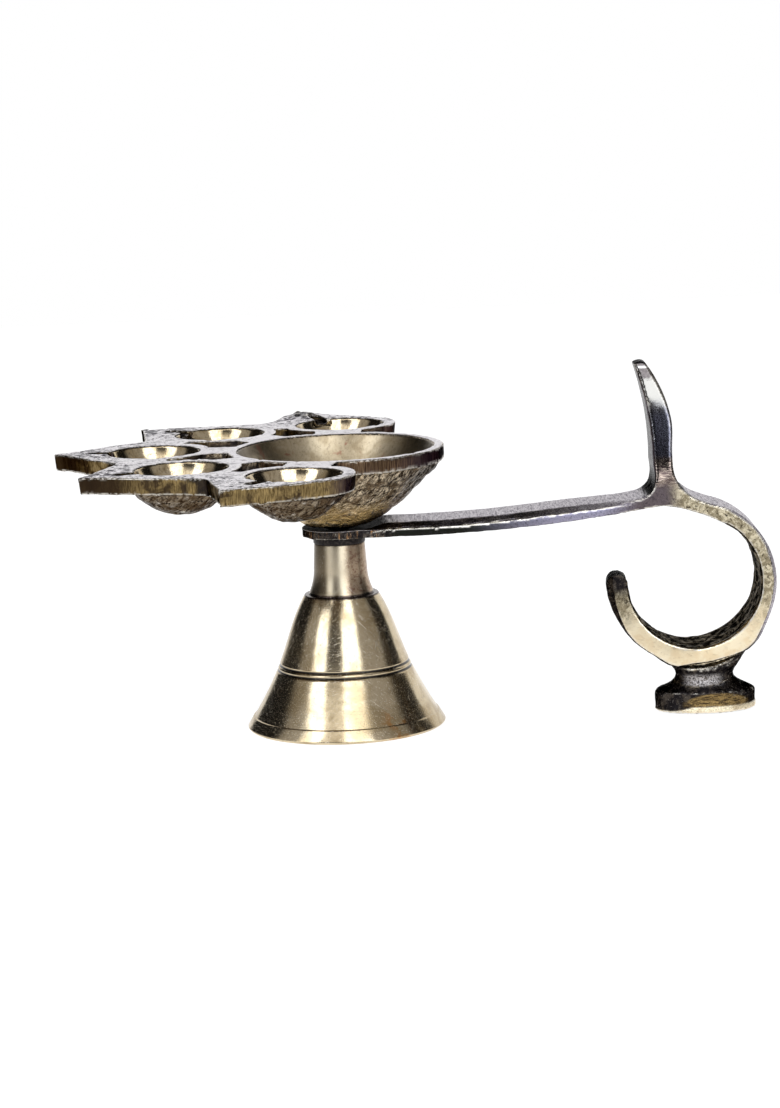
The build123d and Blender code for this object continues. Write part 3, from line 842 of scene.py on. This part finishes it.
def build_handle(material):
    mesh = dense_copy("handle", "handle_strap", HANDLE_VOXEL, HANDLE_SMOOTHING)
    points, normals = points_of(mesh), normals_of(mesh)
    hook_x, _, hook_z = openings["finger_hook"].mean(axis=0)
    pad_x = frame["record"]["mounts"][1]["pos_m"][0] / MM
    eye_top = box("cup_casting")[0].z
    tip_z = box("handle")[1].z
    x, y, z = points.T.copy()
    near_side = np.sign(y)
    inset = np.zeros(len(points))

    # the hook: bevelled along its outside and inside, fuller over the foot, and drawn in round its tip
    reach = np.hypot(x - hook_x, z - hook_z)
    angle = np.degrees(np.arctan2(z - hook_z, x - hook_x))
    angle = np.where((angle > 120) & (z < hook_z + 8), angle - 360, angle)
    share = np.clip((HOOK_ROOT_ANGLE - angle) / (HOOK_ROOT_ANGLE - HOOK_TIP_ANGLE), 0, 1)
    thickness = HOOK_ROOT_THICKNESS + share * (HOOK_TIP_THICKNESS - HOOK_ROOT_THICKNESS)
    narrowing = np.clip((hook_x - x) / (HOOK_RADIUS + HOOK_TIP_THICKNESS), 0, 1) * (z < hook_z + 9)
    half = STRAP_HALF - narrowing * (STRAP_HALF - HOOK_TIP_HALF)
    past_hook = reach - HOOK_RADIUS - thickness
    on_hook = ease(past_hook, 0.6, 0.1) * ease(angle, 66, 58)
    off_neck = 1 - ease(np.abs(x - pad_x), 12, 8) * (z < 22)
    to_tip = ease(angle, -135, -172)
    side_depth = half - np.abs(y)
    out_cut = 0.55 + 1.0 * to_tip + 0.5 * ease(angle, -75, -55) * ease(angle, 40, 10)
    out_push, side_push = bevel_push(-past_hook, side_depth, out_cut, out_cut + 0.45)
    in_push, more_push = bevel_push(reach - HOOK_RADIUS, side_depth, 0.7, 1.1)
    deep = np.clip((reach - HOOK_RADIUS) / thickness, 0, 1)
    swell = 0.4 * to_tip
    for middle, spread, height in HOOK_SWELLS:
        swell += height * np.exp(-(((angle - middle) / spread) ** 2))
    change = on_hook * (in_push - off_neck * out_push + deep * swell)
    x += change * (x - hook_x) / reach
    z += change * (z - hook_z) / reach
    inset += on_hook * (off_neck * side_push + more_push)
    z += 0.8 * ease(angle, -166, -178) * (reach < HOOK_REACH)

    # the bar: a wide bevel along its upper edges, sides that lean in near the stand, and more thickness
    on_bar = ease(x, 6, 14) * ease(x, 84, 74) * ease(z, BAR_LOW, BAR_LOW + 2)
    bar_top = eye_top + bent(BAR_STRAIGHT, BAR_TOP_BEND, x)
    uneven = 0.75 + 0.5 * lumps(points, 3, 14)
    far = np.where(y > 0, BAR_FAR_BEVEL, 1.0)
    ridge_drop, ridge_width = BAR_RIDGE_DROP * far, BAR_RIDGE_WIDTH * uneven * far
    drop, side_push = bevel_push(bar_top - z, STRAP_HALF - np.abs(y), ridge_drop, ridge_width)
    z -= on_bar * drop
    inset += on_bar * side_push
    lean = 0.1 * ease(x, 66, 40) * (np.abs(normals[:, 1]) > 0.3)
    inset += on_bar * lean * np.clip(z - eye_top + BAR_THICKNESS, 0, 3)
    ragged = 0.5 * (lumps(points, 1.3, 17) - 0.5)
    from_ridge = np.abs(bar_top - BAR_RIDGE_DROP - 0.1 + ragged - z)
    fuller = ease(x, 6, 13) * ease(x, 88, 56) * ease(z, 66, 60)
    z += on_bar * fuller * BAR_FULLER * np.clip(1 - (bar_top - z) / BAR_THICKNESS, 0, 1)

    # the thumb rest: sides that bow in and turn towards the tip, and bevels at its back and front
    on_thumb = ease(z, THUMB_LOW, THUMB_ROOT)
    taper = STRAP_HALF - THUMB_TIP_HALF
    straight = STRAP_HALF - np.clip((z - THUMB_ROOT) / (tip_z - THUMB_ROOT), 0, 1) * taper
    bowed = STRAP_HALF - np.clip((z - THUMB_LOW) / (tip_z - THUMB_LOW), 0, 1) ** 1.9 * taper
    wide = np.abs(y) / straight
    inset += on_thumb * wide * (straight - bowed)
    back = x - (THUMB_BACK_X - bent(THUMB_ROOT, THUMB_BACK_BEND, z))
    front = THUMB_FRONT_X - bent(THUMB_BEND, THUMB_FRONT_BEND, z) - x
    thumb_side = straight - np.abs(y)
    back_push, side_push = bevel_push(back, thumb_side, 0.5, 0.7)
    front_push, more_push = bevel_push(front, thumb_side, 0.5, 0.8)
    below_tip = on_thumb * ease(z, tip_z - 1, tip_z - 4)
    x += below_tip * (back_push - front_push)
    inset += below_tip * (side_push + more_push)
    inset += on_thumb * 0.22 * wide * np.clip(front, 0, 5) * ease(z, 91, 85)
    to_back = np.clip(front / np.maximum(front + back, 0.001), 0, 1)
    x += on_thumb * (0.55 * ease(z, 74, 84) * (1 - to_back) - 0.8 * to_back)
    y = near_side * np.maximum(np.abs(y) - inset, 0)

    # the foot: a thick pad with a shallow hollow along its sides, under a narrow waist
    heights, lengths, widths = np.array(FOOT_OUTLINE).T
    half_length = PAD_HALF_LENGTH * np.interp(z, heights, lengths)
    half_width = PAD_HALF_WIDTH * np.interp(z, heights, widths)
    oval = np.hypot((x - pad_x) / half_length, y / half_width)
    on_foot = ease(past_hook, 0.1, 0.7) * (z < 19) * (normals[:, 2] > -0.75) * ease(oval, 0.4, 0.6)
    scale = 1 + on_foot * (1 / np.maximum(oval, 0.2) - 1)
    x = pad_x + (x - pad_x) * scale
    y = y * scale
    along_foot = x - pad_x
    points = np.stack([x, y, z], axis=1)
    move_points(mesh, points)
    points = 0.5 * points + 0.5 * neighbours_mean(mesh, points, 1)
    join = ease(np.abs(past_hook), 3.4, 1.4) * ease(np.abs(along_foot), 17, 11) * (z < 24)
    points += join[:, None] * (neighbours_mean(mesh, points, 16) - points)
    move_points(mesh, points)
    normals = normals_of(mesh)

    # zones for the materials, first of the main forms
    sideways = np.abs(normals[:, 1])
    outward = ((x - hook_x) * normals[:, 0] + (z - hook_z) * normals[:, 2]) / reach
    upward = ease(normals[:, 2], 0.5, 0.8) * ease(z, BAR_LOW, BAR_LOW + 3)
    foot_top = 13.6 + 0.25 * along_foot + 1.4 * (lumps(points, 1.8, 16) - 0.5)
    foot = ease(z, foot_top + 0.5, foot_top - 0.5) * (np.abs(along_foot) < 17)
    thumb = ease(z, 64, 67)
    knob = ease(angle, -164, -175) * (reach < HOOK_REACH)
    eye = ease(x, 17, 11) * ease(z, BAR_LOW, BAR_LOW + 2) * (1 - upward)
    face = np.maximum(ease(sideways, 0.74, 0.93), 0.9 * thumb) * (1 - foot) * (1 - knob)
    on_ring = (reach < RING_REACH) * ease(angle, 80, 70)
    inside = ease(outward, -0.4, -0.75) * on_ring
    olive = np.maximum(ease(angle, -50, -5), ease(angle, -142, -160)) * (reach < RING_REACH)
    back_of_hook = ease(outward, 0.6, 0.85) * ease(angle, -60, -30) * (reach < HOOK_REACH)
    slope = on_bar * ease(sideways, 0.12, 0.25) * upward * ease(x, 84, 50)
    top = np.maximum(upward, back_of_hook) * (1 - face) * (1 - 0.9 * slope)
    face *= 1 - eye
    ridge = on_bar * ease(from_ridge, 0.2, 0.08) * ease(np.abs(y), STRAP_HALF - 1.3, STRAP_HALF - 0.7)

    # the foot's groove, its bare lower edge, painted glints on its waist, and a golden rim inside the hook
    bared = ease(along_foot, -8, -4) * ease(along_foot, 12.5, 10.5)
    groove_top = 6.2 - 2.4 * ((along_foot - 2.5) / 9.5) ** 2
    groove = foot * ease(z, 1.8, 2.4) * ease(z, groove_top, groove_top - 0.7)
    groove *= ease(sideways, 0.4, 0.6) * bared
    gold_rim = ease(sideways, 0.3, 0.5) * ease(sideways, 0.92, 0.8) * ease(-outward, 0.2, 0.4)
    groove = np.maximum(groove, gold_rim * on_ring * ease(angle, -88, -70) * ease(angle, -20, -40))
    bevel_top = 0.7 + 1.4 * ease(along_foot, -11, -3)
    bevel = foot * ease(z, bevel_top + 0.3, bevel_top - 0.1) * (normals[:, 2] > -0.9)
    polish = foot * ease(np.abs(z - 9.4), 2.0, 0.8) * ease(sideways, 0.3, 0.6)
    polish *= ease(np.abs(along_foot + 1), 6.5, 3)

    # painted shadow on the strap under the bowl, painted shade in the corners at the thumb rest's root, and
    # a blackened tip on the thumb rest
    root_x, root_z = (THUMB_BACK_X + THUMB_FRONT_X) / 2, 64
    corner = ease(np.hypot(x - root_x, z - root_z), 7.5, 4.5) * ease(sideways, 0.6, 0.3)
    soot = np.maximum(0.9 * corner, 0.9 * ease(x, 19, 11) * upward)
    soot = np.maximum(soot, ease(z, tip_z - 0.9, tip_z - 0.4))

    rough = np.clip(1 - face - top - groove - bevel, 0, 1)
    sink = rough * (0.3 * lumps(points, 2.4, 11) + (0.1 + 0.12 * inside) * lumps(points, 0.9, 12))
    sink += (1 - thumb) * (0.04 * lumps(points, 1.6, 13) + 0.08 * lumps(points, 5, 15))
    points -= normals * sink[:, None]
    points[:, 2] = np.maximum(points[:, 2], 0)
    move_points(mesh, points)
    relief = stand_out(mesh, 3)
    edge = ease(relief, 0.04, 0.11) * (1 - knob) * (1 - to_tip) * (1 - 0.6 * thumb) * (1 - on_bar)
    # the crease zone is painted shade in the hollows of the relief
    give(mesh, edge=edge, crease=ease(-relief, 0.03, 0.12) * (1 - thumb), face=face, thumb=thumb, top=top,
         bar=ease(x, hook_x - 2, hook_x - 8) * ease(z, BAR_LOW - 1, BAR_LOW + 1),
         # the flank zone is painted shade on the thumb rest's left-facing side
         flank=thumb * ease(-normals[:, 0], 0.55, 0.8), olive=olive, groove=groove, bevel=bevel, eye=eye,
         ridge=ridge, inside=inside, polish=polish, soot=soot)
    add_piece("handle_strap", mesh, "handle", "cast_brass", "handle", material)


# Camera, stage and light, in metres

CAMERA_DISTANCE = 0.966
CAMERA_ELEVATION = math.radians(9.87)
CAMERA_ROLL = math.radians(2.48)
CAMERA_TARGET = Vector((0.0, 0.0, 0.042))
CAMERA_CLIP = (0.05, 50.0)
IMAGE_SIZE = (780, 1108)
TARGET_PIXEL = (340.86, 576.95)
FOCAL_PIXELS = 3449.7
SENSOR = 36.0

FLOOR_EDGES = ((-0.9, 0.9), (-0.4, 1.2))
FLOOR_DROP = -2e-5
FLOOR_GREY = (0.36, 0.36, 0.36, 1)
FLOOR_GLOW = 0.88
WHITE = (1, 1, 1, 1)

# Cards stand round the lamp as in a photo studio, open behind it. Their levels are by compass angle:
# 0 is straight behind the lamp, positive to the right. The rows are low, middle, high and overhead.
CARD_LEVELS = {
    "black": (0.012, 0.012, 0.013),
    "shade": (0.06, 0.06, 0.065),
    "dim": (0.38, 0.37, 0.365),
    "grey": (0.4, 0.39, 0.385),
    "fill": (1.3, 1.28, 1.25),
    "overhead": (0.6, 0.585, 0.55),
}
CARD_ROWS = (
    ((-180, "black"), (180, "black")),
    ((-180, "shade"), (-148, "shade"), (-118, "grey"), (-92, "grey"), (-82, "black"), (90, "black"),
     (100, "grey"), (140, "grey"), (180, "shade")),
    ((-180, "fill"), (-150, "fill"), (-118, "grey"), (-92, "grey"), (-80, "black"), (88, "black"),
     (100, "grey"), (140, "grey"), (176, "dim"), (180, "fill")),
    ((-180, "overhead"), (180, "overhead")),
)
# where each row gives way to the next, as the sine of the angle above the horizon
CARD_STEPS = ((0.1, 0.2), (0.54, 0.66), (0.85, 0.94))
CARD_HEIGHTS = (-0.6, 0.1, 0.15, 0.2, 0.54, 0.6, 0.66, 0.85, 0.9, 0.94, 0.995)
CARD_ANGLE = 1.5
CARD_DISTANCE = 6.0
OPEN_LEFT, OPEN_RIGHT, OPEN_TOP = -28.5, 57.0, 0.6

# Two tall lamp panels, as (name, compass angle, width, lower edge)
SOFTBOXES = (("left_softbox", -131, 0.6, 0.25), ("right_softbox", 166, 0.85, 0.04))
SOFTBOX_TOP = 2.3
SOFTBOX_DISTANCE = 1.3
SOFTBOX_RADIANCE = 2.9
SOFTBOX_COLOR = (0.89, 0.935, 1.0)


def build_camera():
    """A pinhole camera that puts the target on its pixel, with the picture's small roll."""
    c, s = math.cos(CAMERA_ROLL), math.sin(CAMERA_ROLL)
    du, dv = TARGET_PIXEL[0] - IMAGE_SIZE[0] / 2, TARGET_PIXEL[1] - IMAGE_SIZE[1] / 2
    aside, upward = (c * du - s * dv) / FOCAL_PIXELS, -(s * du + c * dv) / FOCAL_PIXELS
    tilt = Matrix.Rotation(math.pi / 2 - CAMERA_ELEVATION, 4, "X")
    yaw = Matrix.Rotation(math.atan2(aside, 1), 4, "Y")
    pitch = Matrix.Rotation(-math.atan2(upward, math.hypot(1, aside)), 4, "X")
    roll = Matrix.Rotation(-CAMERA_ROLL, 4, "Z")
    data = bpy.data.cameras.new("camera")
    data.sensor_width = SENSOR
    data.lens = SENSOR * FOCAL_PIXELS / max(IMAGE_SIZE)
    data.clip_start, data.clip_end = CAMERA_CLIP
    camera = add_object("camera", data)
    place = Matrix.Translation(CAMERA_TARGET + tilt @ Vector((0, 0, CAMERA_DISTANCE)))
    camera.matrix_world = place @ tilt @ yaw @ pitch @ roll
    bpy.context.scene.camera = camera


def build_floor():
    """A white table that keeps a faint shadow. It ends in front of the camera, where the studio is dark."""
    mesh = bpy.data.meshes.new("floor")
    (left, right), (front, back) = FLOOR_EDGES
    corners = [(left, front), (right, front), (right, back), (left, back)]
    mesh.from_pydata([(*corner, FLOOR_DROP) for corner in corners], [], [(0, 1, 2, 3)])
    add_object("floor", mesh)
    tree = Tree(bpy.data.materials.new("floor_white"))
    path = tree.add("LightPath").outputs
    seen = tree.calc("MAXIMUM", path["Is Camera Ray"], path["Is Glossy Ray"])
    seen = tree.calc("MAXIMUM", seen, path["Is Transmission Ray"])
    matte = tree.add("BsdfDiffuse", {"Color": FLOOR_GREY})
    glow = tree.add("Emission", {"Color": WHITE, "Strength": tree.times(seen, FLOOR_GLOW)})
    both = tree.add("AddShader", {0: matte.outputs[0], 1: glow.outputs[0]})
    tree.add("OutputMaterial", {0: both.outputs[0]})
    mesh.materials.append(tree.owner)


def build_world():
    """The white background."""
    tree = Tree(bpy.data.worlds.new("white"))
    bpy.context.scene.world = tree.owner
    tree.add("OutputWorld", {0: tree.add("Background", {0: WHITE, 1: 1.0}).outputs[0]})


def card_colors(compass, height):
    """The cards' colours at these compass angles, on this height above the horizon."""
    rows = []
    for stops in CARD_ROWS:
        angles = [angle for angle, _ in stops]
        shades = np.array([CARD_LEVELS[level] for _, level in stops])
        rows.append(np.stack([np.interp(compass, angles, shade) for shade in shades.T], axis=1))
    colors = rows[0]
    for (start, end), row in zip(CARD_STEPS, rows[1:]):
        colors = colors + ease(height, start, end) * (row - colors)
    return np.column_stack([colors, np.ones(len(compass))])


def build_cards():
    """Black and grey cards that the metal reflects. The camera looks past them to the white."""
    compass = np.arange(-180, 180 + CARD_ANGLE / 2, CARD_ANGLE)
    columns = len(compass)
    angle = np.radians(compass)
    corners, faces = [], []
    for height in CARD_HEIGHTS:
        out = math.sqrt(1 - height * height)
        level = np.full(columns, height)
        corners.append(CARD_DISTANCE * np.stack([out * np.sin(angle), out * np.cos(angle), level], axis=1))
    for row, column in itertools.product(range(len(CARD_HEIGHTS) - 1), range(columns - 1)):
        if OPEN_LEFT <= compass[column] < OPEN_RIGHT and CARD_HEIGHTS[row] < OPEN_TOP:
            continue
        first = row * columns + column
        faces.append((first, first + 1, first + columns + 1, first + columns))
    mesh = bpy.data.meshes.new("cards")
    mesh.from_pydata(np.concatenate(corners).tolist(), [], faces)
    colors = np.concatenate([card_colors(compass, height) for height in CARD_HEIGHTS])
    mesh.attributes.new("shade", "FLOAT_COLOR", "POINT").data.foreach_set("color", colors.ravel())
    cards = add_object("cards", mesh)
    cards.visible_camera = False
    tree = Tree(bpy.data.materials.new("card"))
    shade = tree.add("Attribute", attribute_name="shade").outputs["Color"]
    tree.add("OutputMaterial", {0: tree.add("Emission", {"Color": shade, "Strength": 1.0}).outputs[0]})
    tree.owner.cycles.emission_sampling = "NONE"
    mesh.materials.append(tree.owner)


def add_softbox(name, compass, width, bottom):
    """A tall lamp panel that faces the lamp from this compass angle, 0 being straight behind it."""
    light = bpy.data.lights.new(name, "AREA")
    light.shape = "RECTANGLE"
    light.size, light.size_y = width, SOFTBOX_TOP - bottom
    light.energy = SOFTBOX_RADIANCE * math.pi * width * (SOFTBOX_TOP - bottom)
    light.color = SOFTBOX_COLOR
    panel = add_object(name, light)
    angle = math.radians(compass)
    middle = (bottom + SOFTBOX_TOP) / 2
    panel.location = (SOFTBOX_DISTANCE * math.sin(angle), SOFTBOX_DISTANCE * math.cos(angle), middle)
    panel.rotation_euler = (math.pi / 2, 0, math.pi - angle)
    panel.visible_camera = False


def main():
    bpy.context.scene.view_settings.view_transform = "Standard"
    turned = turned_brass()
    steel = plain_metal("steel", STEEL, DARK_STEEL, 0.3)
    dark = plain_metal("dark_brass", BLACKENED_BRASS, BARED_BRASS, 0.35)
    build_bell(turned)
    build_stem(turned)
    build_washer("washer", "neck_washer", "stand", "dark_brass", dark)
    build_washer("lock_washer", "nut_washer", "nut_washer", "steel", steel)
    build_rod(steel)
    build_nut(steel)
    build_cups(cast_cups_brass(), hollow_brass())
    build_handle(cast_handle_brass())
    build_camera()
    build_floor()
    build_world()
    build_cards()
    for softbox in SOFTBOXES:
        add_softbox(*softbox)


main()
